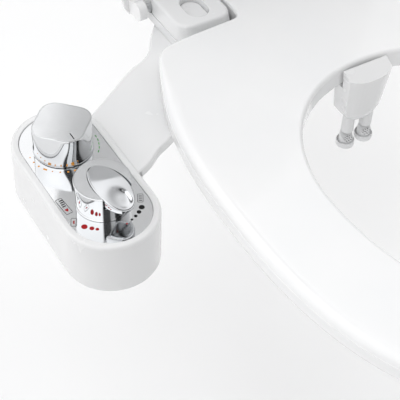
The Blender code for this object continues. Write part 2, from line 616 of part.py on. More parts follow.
def make_hinges():
    """Each hinge: a base over the bolt, a cap with a release button, and the hinge pin."""
    for name, side in (("left", -1), ("right", 1)):
        x = side * BLOCK_X
        outline = rounded_box(x - BLOCK_HALF_WIDTH, x + BLOCK_HALF_WIDTH, BLOCK_FRONT, BLOCK_REAR, 9 * MM, 4)
        base = prism(name + "_hinge_base", [outline], PLATE_TOP + GAP, BLOCK_BASE_TOP)
        post = prism(name + "_post", [rounded_box(x - 19 * MM, x + 19 * MM, 8.5 * MM, 22.5 * MM, MM, 1)],
                     12 * MM, 26 * MM)
        combine(base, post, "UNION")
        cut(base,
            rod(name + "_bolt_hole", BOLT_RADIUS + GAP, 0, 0.02, (side * BOLT_X, 0, 0), None, 16),
            rod(name + "_bolt_seat", 8 * MM, 11.5 * MM, 0.02, (side * BOLT_X, 0, 0), None, 20),
            rod(name + "_pin_bore", PIN_RADIUS + GAP, -0.03, 0.03, (x, HINGE_Y, HINGE_Z), None, 20, None, True))
        inset = 2 * MM
        top = rounded_box(x - BLOCK_HALF_WIDTH + inset, x + BLOCK_HALF_WIDTH - inset, BLOCK_FRONT + 3 * MM,
                          BLOCK_REAR - 1.8 * MM, 12 * MM, 5)
        low = rounded_box(x - BLOCK_HALF_WIDTH + 0.4 * MM, x + BLOCK_HALF_WIDTH - 0.4 * MM, BLOCK_FRONT + MM,
                          BLOCK_REAR, 12 * MM, 5)
        crown = rounded_box(x - BLOCK_HALF_WIDTH + 2 * inset, x + BLOCK_HALF_WIDTH - 2 * inset,
                            BLOCK_FRONT + 5 * MM, BLOCK_REAR - 3.6 * MM, 11 * MM, 5)
        cap = loft(name + "_hinge_cap", [[(a, b, z) for a, b in ring] for ring, z in
                                         ((low, BLOCK_BASE_TOP + GAP), (top, BLOCK_TOP - 1.5 * MM),
                                          (crown, BLOCK_TOP))])
        button_x = side * BUTTON_X
        recess = prism(name + "_button_well", [stadium(button_x, BUTTON_Y, BUTTON_RUN, BUTTON_RADIUS + GAP, 8)],
                       0, 0.05)
        room = prism(name + "_cap_room", [rounded_box(x - 19.5 * MM, x + 19.5 * MM, 8 * MM, 23 * MM, MM, 1)],
                     0, 26.5 * MM)
        slot = rod(name + "_pin_slot", PIN_RADIUS + GAP, -0.04, 0.04, (x, HINGE_Y, HINGE_Z), None, 20, None, True)
        slot_foot = prism(name + "_pin_slot_foot",
                          [rounded_box(x - 0.04, x + 0.04, HINGE_Y - PIN_RADIUS - GAP, HINGE_Y + PIN_RADIUS + GAP,
                                       MM, 1)], 0, HINGE_Z)
        cut(cap, recess, room, slot, slot_foot)
        button = prism(name + "_release_button", [stadium(button_x, BUTTON_Y, BUTTON_RUN, BUTTON_RADIUS, 8)],
                       BUTTON_BOTTOM, BUTTON_TOP, WHITE, (button_x, BUTTON_Y, BUTTON_TOP))
        bevel_rims(button, [0], 1.2 * MM, 2)
        start, end = sorted((side * 40 * MM, side * 125 * MM))
        rod(name + "_hinge_pin", PIN_RADIUS, start, end, (0, HINGE_Y, HINGE_Z), STEEL, 16, None, True)


def seat_half():
    """The right half of the seat's outline, from its front middle to its rear middle."""
    front = superellipse(SEAT_HALF_WIDTH, SEAT_WIDEST_Y, SEAT_FRONT_RUN, SEAT_POWER, 270, 360, 14)
    front[0] = (0.0, front[0][1])
    side = smooth([(SEAT_HALF_WIDTH, SEAT_WIDEST_Y)] + SEAT_SIDE + SEAT_CORNER, 2)[1:]
    notch = [(95 * MM, -40.5 * MM), (64 * MM, -39 * MM), (59 * MM, -37 * MM), (57 * MM, -32 * MM),
             (57 * MM, HINGE_Y)]
    return front + side + notch


def opening_loop():
    """The oval opening, counter-clockwise."""
    rear = superellipse(OPENING_HALF_WIDTH, OPENING_WIDEST_Y, OPENING_REAR_RUN, OPENING_POWER, 0, 180, 20)
    front = superellipse(OPENING_HALF_WIDTH, OPENING_WIDEST_Y, OPENING_FRONT_RUN, OPENING_POWER, 180, 360, 20)
    return rear[:-1] + front[:-1]


def make_seat():
    place = (0, HINGE_Y, HINGE_Z)
    axis = add_axis("seat_axis", place)
    ring = prism("seat_ring", [mirrored(seat_half()), opening_loop()], SEAT_BOTTOM, SEAT_TOP, WHITE, place, axis)
    bevel_rims(ring, [SEAT_TOP - HINGE_Z], 5 * MM, 2)
    knuckle = rod("seat_knuckle", SEAT_TOP - HINGE_Z, -TAB_HALF_WIDTH * MM, TAB_HALF_WIDTH * MM, (0, 0, 0), None,
                  24, axis, True)
    combine(ring, knuckle, "UNION")
    for side in (-1, 1):
        start, end = sorted((side * 39 * MM, side * 60 * MM))
        cut(ring, rod("seat_bore" + str(side), PIN_RADIUS + GAP, start, end, (0, 0, 0), None, 20, axis, True))
    for number, (x, y) in enumerate(SEAT_PADS):
        rod("seat_pad_" + str(number + 1), 9 * MM, GAP - HINGE_Z, SEAT_BOTTOM - GAP - HINGE_Z,
            (x * MM, y * MM - HINGE_Y, 0), RUBBER, 16, axis)


def make_lid():
    """The lid is drawn shut, about its hinge axis, and stands raised."""
    place = (0, HINGE_Y, HINGE_Z)
    axis = add_axis("lid_axis", place, -LID_ANGLE)
    front = superellipse(187.5, SEAT_WIDEST_Y, 237.5, SEAT_POWER, 270, 360, 14)
    front[0] = (0.0, front[0][1])
    half = front + smooth([(187.5, SEAT_WIDEST_Y)] + LID_SIDE, 2)[1:]
    panel = prism("lid_panel", [mirrored(half)], LID_BOTTOM, LID_TOP, WHITE, place, axis)
    bevel_rims(panel, [LID_TOP - HINGE_Z], 2.2 * MM, 2)
    for side in (-1, 1):
        start, end = sorted((side * EAR_INNER, side * EAR_OUTER))
        disc = rod("lid_ear_disc" + str(side), EAR_RADIUS, start, end, (0, 0, 0), None, 20, axis, True)
        neck = prism("lid_ear_neck" + str(side), [rounded_box(start, end, -6.5 * MM, 6.5 * MM, MM, 1)],
                     0, 14 * MM, None, (0, 0, 0), axis)
        combine(panel, disc, "UNION")
        combine(panel, neck, "UNION")
        bore_start, bore_end = sorted((side * 110 * MM, side * 125.4 * MM))
        cut(panel, rod("lid_bore" + str(side), PIN_RADIUS + GAP, bore_start, bore_end, (0, 0, 0), None, 20, axis,
                       True))
    for number, (x, y) in enumerate(LID_PADS):
        rod("lid_pad_" + str(number + 1), 5 * MM, SEAT_TOP + GAP - HINGE_Z, LID_BOTTOM - GAP - HINGE_Z,
            (x * MM, y * MM - HINGE_Y, 0), RUBBER, 16, axis)


make_control_shell()
make_plate_base()
make_control_base()
make_base_screws()
make_face_plate()
make_valves()
make_rear_knob()
make_front_knob()
make_tubes()
make_nozzle_guard()
make_nozzles()
make_sliders_and_bolts()
make_hinges()
make_seat()
make_lid()
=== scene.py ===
"""Looks for the bidet seat: fine pieces, procedural materials, studio light and camera.

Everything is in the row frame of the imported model: metres, -Y to the front, +Z up,
with z = 0 on the top of the bowl.
"""
import json
import math

import bmesh
import bpy
from mathutils import Matrix, Vector


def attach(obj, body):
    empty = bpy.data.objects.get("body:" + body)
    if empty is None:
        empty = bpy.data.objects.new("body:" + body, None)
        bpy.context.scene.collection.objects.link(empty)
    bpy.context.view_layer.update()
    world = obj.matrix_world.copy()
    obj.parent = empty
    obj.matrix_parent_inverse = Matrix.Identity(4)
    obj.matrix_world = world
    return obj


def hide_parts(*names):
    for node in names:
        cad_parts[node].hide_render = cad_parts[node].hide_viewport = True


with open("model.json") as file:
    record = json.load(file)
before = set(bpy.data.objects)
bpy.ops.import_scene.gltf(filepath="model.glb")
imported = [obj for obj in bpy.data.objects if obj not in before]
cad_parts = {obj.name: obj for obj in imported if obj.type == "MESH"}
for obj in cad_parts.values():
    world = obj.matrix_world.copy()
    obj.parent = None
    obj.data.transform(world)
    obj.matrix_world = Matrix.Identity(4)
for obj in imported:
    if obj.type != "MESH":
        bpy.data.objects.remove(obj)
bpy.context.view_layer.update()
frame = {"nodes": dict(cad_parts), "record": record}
NODES = frame["nodes"]
MM = 0.001


# ---------------------------------------------------------------- small geometry

def arc(cx, cy, radius, start, end, steps):
    """Points on a circle from start to end degrees."""
    angles = [math.radians(start + (end - start) * i / steps) for i in range(steps + 1)]
    return [(cx + radius * math.cos(a), cy + radius * math.sin(a)) for a in angles]


def stadium(cx, cy, run, radius, steps=24):
    """A slot outline whose straight sides run along Y, counter-clockwise."""
    side = 8
    right = [(cx + radius, cy - run + 2 * run * i / side) for i in range(1, side)]
    left = [(cx - radius, cy + run - 2 * run * i / side) for i in range(1, side)]
    return (arc(cx, cy + run, radius, 0, 180, steps) + left
            + arc(cx, cy - run, radius, 180, 360, steps) + right)


def rounded_box(x0, x1, y0, y1, radius, steps=8):
    """A box outline with round corners, counter-clockwise."""
    return (arc(x1 - radius, y1 - radius, radius, 0, 90, steps)
            + arc(x0 + radius, y1 - radius, radius, 90, 180, steps)
            + arc(x0 + radius, y0 + radius, radius, 180, 270, steps)
            + arc(x1 - radius, y0 + radius, radius, 270, 360, steps))


def smooth(points, steps=6):
    """An open line of points eased into a smooth curve through all of them."""
    padded = [points[0]] + list(points) + [points[-1]]
    out = []
    for p, q, r, s in zip(padded, padded[1:], padded[2:], padded[3:]):
        for i in range(steps):
            t = i / steps
            out.append(tuple(
                0.5 * (2 * b + (c - a) * t + (2 * a - 5 * b + 4 * c - d) * t * t
                       + (3 * b - a - 3 * c + d) * t ** 3)
                for a, b, c, d in zip(p, q, r, s)))
    out.append(tuple(points[-1]))
    return out


def superellipse(half_width, widest_y, run, power, start, end, steps):
    """Part of a squared-off ellipse about (0, widest_y), from start to end degrees."""
    out = []
    for i in range(steps + 1):
        angle = math.radians(start + (end - start) * i / steps)
        c, s = math.cos(angle), math.sin(angle)
        out.append((math.copysign(abs(c) ** (2 / power), c) * half_width,
                    widest_y + math.copysign(abs(s) ** (2 / power), s) * run))
    return out


def inset(loop, amount):
    """A counter-clockwise outline moved inward; amount is one number or one for each point."""
    count = len(loop)
    out = []
    for i, (x, y) in enumerate(loop):
        before, after = loop[(i - 1) % count], loop[(i + 1) % count]
        along = Vector((after[0] - before[0], after[1] - before[1]))
        along.normalize()
        step = amount[i] if isinstance(amount, list) else amount
        out.append((x - along.y * step, y + along.x * step))
    return out


def at(loop, z):
    """A flat outline lifted to height z."""
    return [(x, y, z) for x, y in loop]


def rim(loop, z, radius, steps=5):
    """Rings that round an outline's edge over, ending flat at height z."""
    rings = []
    for i in range(steps + 1):
        angle = math.pi / 2 * i / steps
        rings.append(at(inset(loop, radius * (1 - math.cos(angle))), z - radius * (1 - math.sin(angle))))
    return rings


# ---------------------------------------------------------------- meshes

def finish_mesh(name, bm, sharp=35):
    """A smooth-shaded object, with edges over sharp degrees kept crisp."""
    bmesh.ops.remove_doubles(bm, verts=bm.verts, dist=0.000002)
    bmesh.ops.recalc_face_normals(bm, faces=bm.faces)
    mesh = bpy.data.meshes.new(name)
    bm.to_mesh(mesh)
    bm.free()
    for face in mesh.polygons:
        face.use_smooth = True
    mesh.set_sharp_from_angle(angle=math.radians(sharp))
    thing = bpy.data.objects.new(name, mesh)
    bpy.context.scene.collection.objects.link(thing)
    return thing


def loft(name, rings, caps=True, loop=False, place=None, sharp=35):
    """A solid through rings of (x, y, z) points in millimetres."""
    bm = bmesh.new()
    rows = [[bm.verts.new(Vector(p) * MM) for p in ring] for ring in rings]
    count = len(rings[0])
    pairs = list(zip(rows, rows[1:])) + ([(rows[-1], rows[0])] if loop else [])
    for low, high in pairs:
        for i in range(count):
            j = (i + 1) % count
            bm.faces.new((low[i], low[j], high[j], high[i]))
    if caps and not loop:
        bm.faces.new(list(reversed(rows[0])))
        bm.faces.new(rows[-1])
    if place is not None:
        bmesh.ops.transform(bm, matrix=place, verts=bm.verts)
    return finish_mesh(name, bm, sharp)


def turned(name, profile, centre, steps=96, axis="Z", place=None, sharp=35):
    """A closed (radius, height) profile in millimetres turned about an axis through centre."""
    rings = []
    for radius, height in profile:
        ring = []
        for i in range(steps):
            angle = 2 * math.pi * i / steps
            a, b = max(radius, 0.0001) * math.cos(angle), max(radius, 0.0001) * math.sin(angle)
            point = (a, b, height) if axis == "Z" else (height, a, b)
            ring.append(tuple(c + p for c, p in zip(centre, point)))
        rings.append(ring)
    loop = profile[0] == profile[-1]
    return loft(name, rings[:-1] if loop else rings, loop=loop, place=place, sharp=sharp)


def apply_modifiers(thing):
    """Replace the mesh by its evaluated form and drop the modifiers."""
    bpy.context.view_layer.update()
    graph = bpy.context.evaluated_depsgraph_get()
    mesh = bpy.data.meshes.new_from_object(thing.evaluated_get(graph))
    thing.modifiers.clear()
    thing.data = mesh


def shape(thing, join=(), cut=(), sharp=32):
    """Join other solids to thing and cut others from it, then remove them."""
    for operation, others in (("UNION", join), ("DIFFERENCE", cut)):
        for other in others:
            boolean = thing.modifiers.new(other.name, "BOOLEAN")
            boolean.operation = operation
            boolean.solver = "MANIFOLD"
            boolean.object = other
    apply_modifiers(thing)
    for other in list(join) + list(cut):
        bpy.data.objects.remove(other, do_unlink=True)
    for face in thing.data.polygons:
        face.use_smooth = True
    thing.data.set_sharp_from_angle(angle=math.radians(sharp))
    return thing


def piece(thing, body, slot_name, material, *nodes):
    """Give a finished piece its material, its body and the CAD nodes that it stands for."""
    thing.data.materials.clear()
    thing.data.materials.append(material)
    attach(thing, body)
    if nodes:
        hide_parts(*nodes)
    level = thing.modifiers.new("even_shading", "WEIGHTED_NORMAL")
    level.keep_sharp = True
    return thing


# ---------------------------------------------------------------- materials

class Look:
    """A Principled material with helpers for its nodes."""

    def __init__(self, name, roughness, metallic=0.0):
        self.material = bpy.data.materials.new(name)
        self.material.use_nodes = True
        self.tree = self.material.node_tree
        self.shader = self.tree.nodes["Principled BSDF"]
        self.shader.inputs["Roughness"].default_value = roughness
        self.shader.inputs["Metallic"].default_value = metallic
        self.place = self.tree.nodes.new("ShaderNodeTexCoord").outputs["Object"]

    def noise(self, scale, detail=3.0, stretch=None):
        source = self.place
        if stretch:
            mapping = self.tree.nodes.new("ShaderNodeMapping")
            mapping.inputs["Scale"].default_value = stretch
            self.tree.links.new(self.place, mapping.inputs["Vector"])
            source = mapping.outputs["Vector"]
        node = self.tree.nodes.new("ShaderNodeTexNoise")
        node.inputs["Scale"].default_value = scale
        node.inputs["Detail"].default_value = detail
        self.tree.links.new(source, node.inputs["Vector"])
        return node.outputs["Fac"]

    def ramp(self, value, stops):
        node = self.tree.nodes.new("ShaderNodeValToRGB")
        elements = node.color_ramp.elements
        while len(elements) < len(stops):
            elements.new(0.5)
        for element, (where, colour) in zip(elements, stops):
            element.position = where
            element.color = (*colour, 1.0)
        self.tree.links.new(value, node.inputs["Fac"])
        return node.outputs["Color"]

    def spread(self, value, low, high):
        node = self.tree.nodes.new("ShaderNodeMapRange")
        node.inputs["From Min"].default_value = 0.3
        node.inputs["From Max"].default_value = 0.7
        node.inputs["To Min"].default_value = low
        node.inputs["To Max"].default_value = high
        self.tree.links.new(value, node.inputs["Value"])
        return node.outputs["Result"]

    def feed(self, name, output):
        self.tree.links.new(output, self.shader.inputs[name])

    def bump(self, value, strength, distance):
        node = self.tree.nodes.new("ShaderNodeBump")
        node.inputs["Strength"].default_value = strength
        node.inputs["Distance"].default_value = distance
        self.tree.links.new(value, node.inputs["Height"])
        self.feed("Normal", node.outputs["Normal"])


def moulded(name, low, high, rough_low, rough_high, coat=0.0, grain=0.00002, scale=700):
    """Moulded plastic or rubber: faint mottling, uneven gloss and a fine grain."""
    look = Look(name, (rough_low + rough_high) / 2)
    look.feed("Base Color", look.ramp(look.noise(14, 2), [(0.30, low), (0.70, high)]))
    look.feed("Roughness", look.spread(look.noise(60, 4), rough_low, rough_high))
    look.bump(look.noise(scale, 2), 0.12, grain)
    look.shader.inputs["Coat Weight"].default_value = coat
    look.shader.inputs["Coat Roughness"].default_value = 0.04
    return look


def metal(name, low, high, rough_low, rough_high, stretch=None, scale=180, strength=0.05):
    """Metal with smudged gloss and fine scratches along the stretched direction."""
    look = Look(name, (rough_low + rough_high) / 2, 1.0)
    look.feed("Base Color", look.ramp(look.noise(20, 3), [(0.35, low), (0.65, high)]))
    look.feed("Roughness", look.spread(look.noise(90, 5, stretch), rough_low, rough_high))
    look.bump(look.noise(scale, 4, stretch), strength, 0.00002)
    return look


def print_ink(name, colour):
    """Printed ink: slightly uneven colour on a satin film."""
    look = Look(name, 0.35)
    darker = tuple(c * 0.82 for c in colour)
    look.feed("Base Color", look.ramp(look.noise(900, 2), [(0.35, darker), (0.65, colour)]))
    look.shader.inputs["Specular IOR Level"].default_value = 0.25
    look.bump(look.noise(2500, 2), 0.1, 0.00001)
    return look.material


WHITE = moulded("white_gloss_plastic", (0.76, 0.765, 0.77), (0.79, 0.79, 0.79), 0.20, 0.28, 0.5).material
SEAT_WHITE = moulded("seat_enamel", (0.825, 0.83, 0.835), (0.85, 0.85, 0.85), 0.12, 0.18, 0.6).material
MATTE = moulded("white_matte_plastic", (0.76, 0.765, 0.77), (0.80, 0.80, 0.80), 0.30, 0.42).material
GREY = moulded("grey_plastic", (0.42, 0.43, 0.44), (0.48, 0.49, 0.50), 0.42, 0.55).material
WHITE_RUBBER = moulded("white_rubber", (0.74, 0.74, 0.73), (0.80, 0.80, 0.79), 0.55, 0.70).material
BLACK_RUBBER = moulded("black_rubber", (0.018, 0.018, 0.018), (0.03, 0.03, 0.03), 0.50, 0.65).material
CHROME = metal("polished_chrome", (0.73, 0.74, 0.75), (0.77, 0.78, 0.79), 0.035, 0.075).material
SATIN = metal("satin_chrome", (0.83, 0.84, 0.85), (0.88, 0.89, 0.90), 0.20, 0.27).material
# The lever's chrome is a darker copy of the knobs' polished chrome: painted shade that dims the bright sky
# reflected on the lever's sloping top.
SHADED_LEVER_CHROME = metal("lever_chrome_painted_shade", (0.66, 0.67, 0.685), (0.72, 0.73, 0.745), 0.07, 0.12).material
FACE = metal("face_mirror", (0.84, 0.85, 0.86), (0.89, 0.90, 0.91), 0.06, 0.10).material
STEEL = metal("brushed_steel", (0.54, 0.55, 0.56), (0.62, 0.63, 0.64), 0.24, 0.38,
              (1, 1, 14), 260, 0.2).material
BRASS = metal("machined_brass", (0.70, 0.50, 0.20), (0.80, 0.60, 0.28), 0.20, 0.34,
              (1, 1, 10), 260, 0.2).material


def milky_tube():
    """Cloudy water tube that lets some light through."""
    look = moulded("milky_tube", (0.70, 0.76, 0.82), (0.78, 0.83, 0.88), 0.25, 0.35)
    look.shader.inputs["Transmission Weight"].default_value = 0.35
    look.shader.inputs["IOR"].default_value = 1.45
    return look.material


TUBE = milky_tube()
RED = print_ink("red_print", (0.42, 0.008, 0.012))
BLACK = print_ink("black_print", (0.008, 0.008, 0.009))
ORANGE = print_ink("orange_print", (0.85, 0.36, 0.06))
GREEN = print_ink("green_print", (0.16, 0.45, 0.16))

SLOTS = {"white_gloss": WHITE, "seat_white": SEAT_WHITE, "white_matte": MATTE, "grey_plastic": GREY,
         "chrome_face": FACE, "chrome": CHROME, "steel": STEEL, "brass": BRASS,
         "white_rubber": WHITE_RUBBER, "black_rubber": BLACK_RUBBER, "water_tube": TUBE}


# ---------------------------------------------------------------- control housing

# Millimetres. The housing is a slot: two half circles joined by straight sides of twice its run.
HOUSING_X, HOUSING_Y, HOUSING_RUN, HOUSING_RADIUS = -250, -130, 41.4, 37.5
HOUSING_WALL = 2.5
FACE_TOP = 10.0
REAR_KNOB_Y, FRONT_KNOB_Y = -95, -161
PLATE_REAR_AND_RIGHT = [(-188, -53), (-161, -35.5), (-139, -25), (-122, -2), (-104, 16), (-80, 22),
                        (-40, 22.5), (40, 22.5), (80, 22), (104, 14), (116, -8), (113, -40),
                        (96, -72), (68, -100), (36, -126), (24, -128.4), (-24, -128.4), (-36, -126)]
PLATE_FRONT_LEFT = [(-70, -110), (-110, -103), (-146, -110), (-171, -123), (-186, -130), (-199, -139)]


def plate_outline(end_x):
    """The mounting plate with its arm, counter-clockwise, the arm cut off at end_x."""
    points = [(end_x, -74)] + PLATE_REAR_AND_RIGHT + PLATE_FRONT_LEFT + [(end_x, -148)]
    return list(reversed(smooth(points, 5)))


def housing_slot(radius):
    """A slot outline that shares the housing's centre lines."""
    return stadium(HOUSING_X, HOUSING_Y, HOUSING_RUN, radius)


def control_shell():
    """The white housing with a rounded rim, its arm and the top of the plate."""
    outer = housing_slot(HOUSING_RADIUS)
    rings = [at(inset(outer, 1.2), -36), at(inset(outer, 0.35), -35.65), at(outer, -34.8), at(outer, -10)]
    rings += rim(outer, 11, 3.0, 7)
    face = housing_slot(31)
    for grow, z in ((0.95, 11), (0.65, 10.88), (0.42, 10.6), (0.33, 10.2), (0.3, 7.9)):
        rings.append(at(inset(face, -grow), z))
    rings += [at(inset(face, 3), 7.9), at(inset(face, 3), 6), at(inset(outer, HOUSING_WALL), 6),
              at(inset(outer, HOUSING_WALL), -36)]
    shell = loft("control_shell_fine", rings, loop=True)
    outline = plate_outline(-220.5)
    plate = loft("plate_form", [at(outline, 0)] + rim(outline, 7.5, 2.2, 5))
    room = loft("plate_room", [at(inset(plate_outline(-212.5), 1.6), z) for z in (-1, 5.9)])
    inner = loft("housing_room", [at(housing_slot(HOUSING_RADIUS - HOUSING_WALL), z) for z in (-37, 6)])
    stem_room = loft("face_room", [at(housing_slot(28), z) for z in (4, 12)])
    passage = loft("arm_passage", [at(rounded_box(-218, -206, -128, -92, 1, 2), z) for z in (1.2, 5.8)])
    discs = [turned("slider_hole", [(0, -1), (19.8, -1), (19.8, 9), (0, 9)], (side * 78, 0, 0), 64)
             for side in (-1, 1)]
    nozzle_way = loft("nozzle_way", [at(rounded_box(-14, 14, -131, -120, 1, 2), z) for z in (1.2, 5.8)])
    shape(shell, [plate], [inner, stem_room, room, passage, nozzle_way] + discs)
    piece(shell, "root", "white_gloss", WHITE, "control_shell")


def face_plate():
    """The mirror face with a fine bevel, open round the two stems."""
    outline = housing_slot(31.2)
    face = loft("face_plate_fine", [at(outline, 8.2)] + rim(outline, FACE_TOP, 0.35, 3))
    holes = [turned("stem_hole", [(0, 7), (10, 7), (10, 11), (0, 11)], (HOUSING_X, y, 0), 64)
             for y in (REAR_KNOB_Y, FRONT_KNOB_Y)]
    shape(face, [], holes)
    piece(face, "root", "chrome_face", FACE, "face_plate")


# ---------------------------------------------------------------- printed marks

INK_HEIGHT = 0.06


def mark(name, loop, material):
    """A printed mark: a thin raised film on the face."""
    film = loft(name, [at(loop, FACE_TOP), at(inset(loop, 0.02), FACE_TOP + INK_HEIGHT)])
    piece(film, "root", "chrome_face", material)


def disc_loop(x, y, radius, steps=24):
    """A circle about (x, y), counter-clockwise."""
    return arc(x, y, radius, 0, 360 - 360 / steps, steps - 1)


def turned_box(x, y, length, width, angle, radius=0.5):
    """A rounded box about (x, y), its length along angle degrees."""
    a = math.radians(angle)
    out = []
    for u, v in rounded_box(-length / 2, length / 2, -width / 2, width / 2, radius, 4):
        out.append((x + u * math.cos(a) - v * math.sin(a), y + u * math.sin(a) + v * math.cos(a)))
    return out


def outline_box(name, x, y, length, width, angle, material, line=0.35):
    """A thin frame round a box of bars, where the real panel has words."""
    outer = turned_box(x, y, length, width, angle, 0.9)
    inner = turned_box(x, y, length - 2 * line, width - 2 * line, angle, 0.6)
    rings = [at(outer, FACE_TOP), at(outer, FACE_TOP + INK_HEIGHT), at(inner, FACE_TOP + INK_HEIGHT),
             at(inner, FACE_TOP)]
    film = loft(name, rings, loop=True)
    piece(film, "root", "chrome_face", material)


def face_marks():
    """Bars, frames, dots and one triangle, in the places of the real print."""
    outline_box("panel_frame_rear", -277, -151, 17, 5.4, 95, BLACK)
    a = math.radians(275)
    tip = (-277 + 4.2 * math.cos(a), -151 + 4.2 * math.sin(a))
    triangle = [(tip[0] + 2.0 * math.cos(math.radians(t)), tip[1] + 2.0 * math.sin(math.radians(t)))
                for t in (275, 35, 155)]
    mark("panel_triangle", triangle, RED)
    for i in range(4):
        bar = turned_box(-276.4 - 0.15 * i, -144.8 - 2.1 * i, 3.0, 1.0, 5, 0.3)
        mark("panel_bar_" + str(i), bar, BLACK)
    for i, (x, y, r) in enumerate(((-273, -176, 2.3), (-269, -180, 1.8), (-266, -182.6, 1.35))):
        mark("red_dot_" + str(i), disc_loop(x, y, r), RED)
    outline_box("panel_frame_low", -277.6, -168.5, 8, 4.4, 62, BLACK, 0.3)
    mark("low_bar", turned_box(-277.6, -168.5, 3.2, 1.0, 62, 0.3), RED)
    for i, (x, y, r) in enumerate(((-240, -186.3, 1.0), (-236, -184.6, 1.35), (-232, -182.2, 1.75),
                                   (-228, -179, 2.2))):
        mark("black_dot_" + str(i), disc_loop(x, y, r), BLACK)
    outline_box("panel_frame_high", -224.5, -170.4, 8.6, 4.4, 62, BLACK)
    for i in range(3):
        bar = turned_box(-225.5 + 1.0 * i, -172.4 + 1.9 * i, 2.6, 0.8, -28, 0.25)
        mark("high_bar_" + str(i), bar, BLACK)
    mark("low_dot", disc_loop(-245, -188.2, 0.7), RED)
    for i in range(9):
        angle = 176 + 12.6 * i
        x = HOUSING_X + 27 * math.cos(math.radians(angle))
        y = REAR_KNOB_Y + 27 * math.sin(math.radians(angle))
        if i % 4 == 3:
            mark("wash_mark_" + str(i), turned_box(x, y, 3.4, 1.5, angle + 90, 0.6), ORANGE)
        else:
            mark("wash_mark_" + str(i), disc_loop(x, y, 0.55 + 0.12 * (i % 4)), ORANGE)
    for i in range(5):
        angle = -2 - 9 * i
        x = HOUSING_X + 27.2 * math.cos(math.radians(angle))
        y = REAR_KNOB_Y + 27.2 * math.sin(math.radians(angle))
        mark("clean_mark_" + str(i), turned_box(x, y, 2.8, 0.9, angle + 90, 0.4), GREEN)


# ---------------------------------------------------------------- knobs

KNOB_LOW = 10.3


def squircle(radius, swell, z, count=160):
    """A ring about the rear knob's axis, swollen towards four corners."""
    ring = []
    for i in range(count):
        angle = 2 * math.pi * i / count
        r = radius + swell * math.cos(4 * angle)
        ring.append((HOUSING_X + r * math.cos(angle), REAR_KNOB_Y + r * math.sin(angle), z))
    return ring


def rear_knob():
    """A mirror skirt that turns from round into a rounded square, under a satin top."""
    height = 36 - KNOB_LOW
    rings = [squircle(22.6, 0, KNOB_LOW), squircle(23.2, 0, KNOB_LOW + 0.25),
             squircle(23.3, 0, KNOB_LOW + 0.8), squircle(22.95, 0, KNOB_LOW + 1.5)]
    for i in range(1, 17):
        t = i / 16
        ease = t * t * (3 - 2 * t)
        rings.append(squircle(22.95 - 0.95 * t, 1.75 * ease, KNOB_LOW + 1.5 + (height - 2.1) * t))
    rings += [squircle(21.9, 1.75, 35.72), squircle(21.72, 1.75, 35.88), squircle(21.55, 1.75, 35.95)]
    knob = loft("rear_knob_fine", rings)
    bore = turned("knob_bore", [(0, 9), (4.3, 9), (4.3, 30.9), (0, 30.9)], (HOUSING_X, REAR_KNOB_Y, 0), 48)
    top_pocket = loft("top_pocket", [squircle(21.05, 1.75, 35.6), squircle(21.05, 1.75, 37)])
    shape(knob, [], [bore, top_pocket], 25)
    piece(knob, "rear_knob", "chrome", CHROME, "rear_knob")
    top = loft("rear_knob_top", [squircle(20.98, 1.75, 35.62), squircle(20.98, 1.75, 35.92),
                                 squircle(20.88, 1.74, 36.0), squircle(10, 0.8, 36.0)])
    piece(top, "rear_knob", "chrome", SATIN)
    line = loft("rear_knob_line", [at(turned_box(HOUSING_X, REAR_KNOB_Y - 17.6, 7.2, 0.8, 90, 0.35), z)
                                   for z in (35.98, 36.05)])
    piece(line, "rear_knob", "chrome", BLACK)


LEVER_PLACE = (Matrix.Translation(Vector((HOUSING_X, FRONT_KNOB_Y, 0)) * MM)
               @ Matrix.Rotation(math.radians(10), 4, "Z")
               @ Matrix.Translation(Vector((0, -7.5, 27.2)) * MM)
               @ Matrix.Rotation(math.radians(10.7), 4, "X"))


def egg(grow, count=96):
    """The lever's outline, wider towards its tip."""
    out = []
    for i in range(count):
        angle = 2 * math.pi * i / count
        y = -(23 + grow) * math.cos(angle)
        out.append((0.9 + (12.9 + grow) * math.sin(angle) * (1 - 0.08 * y / 23), y))
    return out


def lever_height(x, y):
    """The lever's upper surface: level over the knob, then sloping to a finger dish near its tip."""
    level = 8.4 - 0.189 * y
    slope = 9.3 + 0.20 * (y + 4.5)
    softness = 3.6
    crown = -softness * math.log(math.exp(-level / softness) + math.exp(-slope / softness))
    crown -= 0.5 * (x / 12.9) ** 2
    u, v = (x - 0.9) / 6.9, (y + 12.6) / 9.0
    return crown - 1.7 * math.exp(-(u * u + v * v) ** 1.8)


def lever():
    """The spoon lever: a flat underside, a rolled edge and a dished top."""
    rings = [at(egg(-3.2), -1.2), at(egg(-1.4), -1.0), at(egg(-0.5), -0.3)]
    outline = egg(0)
    for lift, grow in ((0.25, 0.0), (0.72, 0.0), (0.9, -0.12), (0.97, -0.45), (1.0, -1.0)):
        rings.append([(x, y, -0.3 + (lever_height(x, y) + 0.3) * lift) for x, y in egg(grow)])
    for i in range(1, 24):
        scale = (1 - i / 24.5) * (12 / 12.9)
        ring = []
        for x, y in outline:
            px, py = 0.9 + (x - 0.9) * scale, y * scale - 3.5 * (1 - scale)
            ring.append((px, py, lever_height(px, py)))
        rings.append(ring)
    return loft("front_lever_fine", rings, place=LEVER_PLACE, sharp=60)


